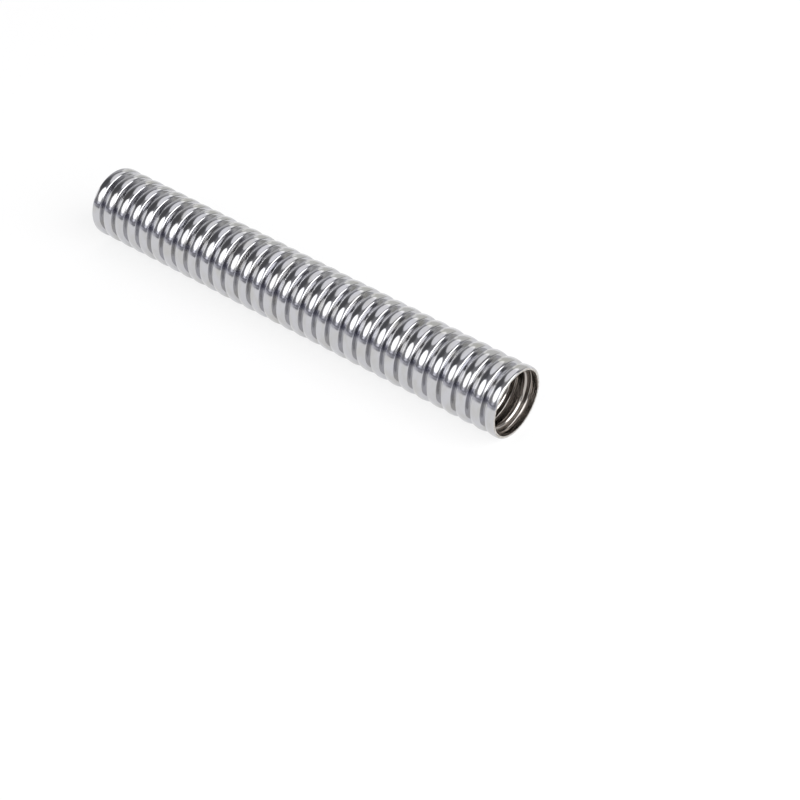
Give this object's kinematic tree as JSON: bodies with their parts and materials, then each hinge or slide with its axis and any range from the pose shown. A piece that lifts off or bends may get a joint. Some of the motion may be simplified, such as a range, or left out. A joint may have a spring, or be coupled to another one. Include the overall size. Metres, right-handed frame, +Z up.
{
  "type": "corrugated stainless steel hose",
  "caption": "Straight length of bare annular corrugated stainless steel hose, cut square at both ends, with an open bore from end to end.",
  "frame": {"origin": "on the surface that the hose lies on, under the middle of its length", "axes": "+X along the hose towards its near cut end, +Z up"},
  "size_m": [0.1498, 0.0214, 0.0214],
  "materials": {
    "stainless_steel": "bright rolled stainless steel, neutral in colour, with fine forming marks and one straight weld seam"
  },
  "bodies": {
    "root": {"corrugated_hose": "stainless_steel"}
  },
  "joints": []
}
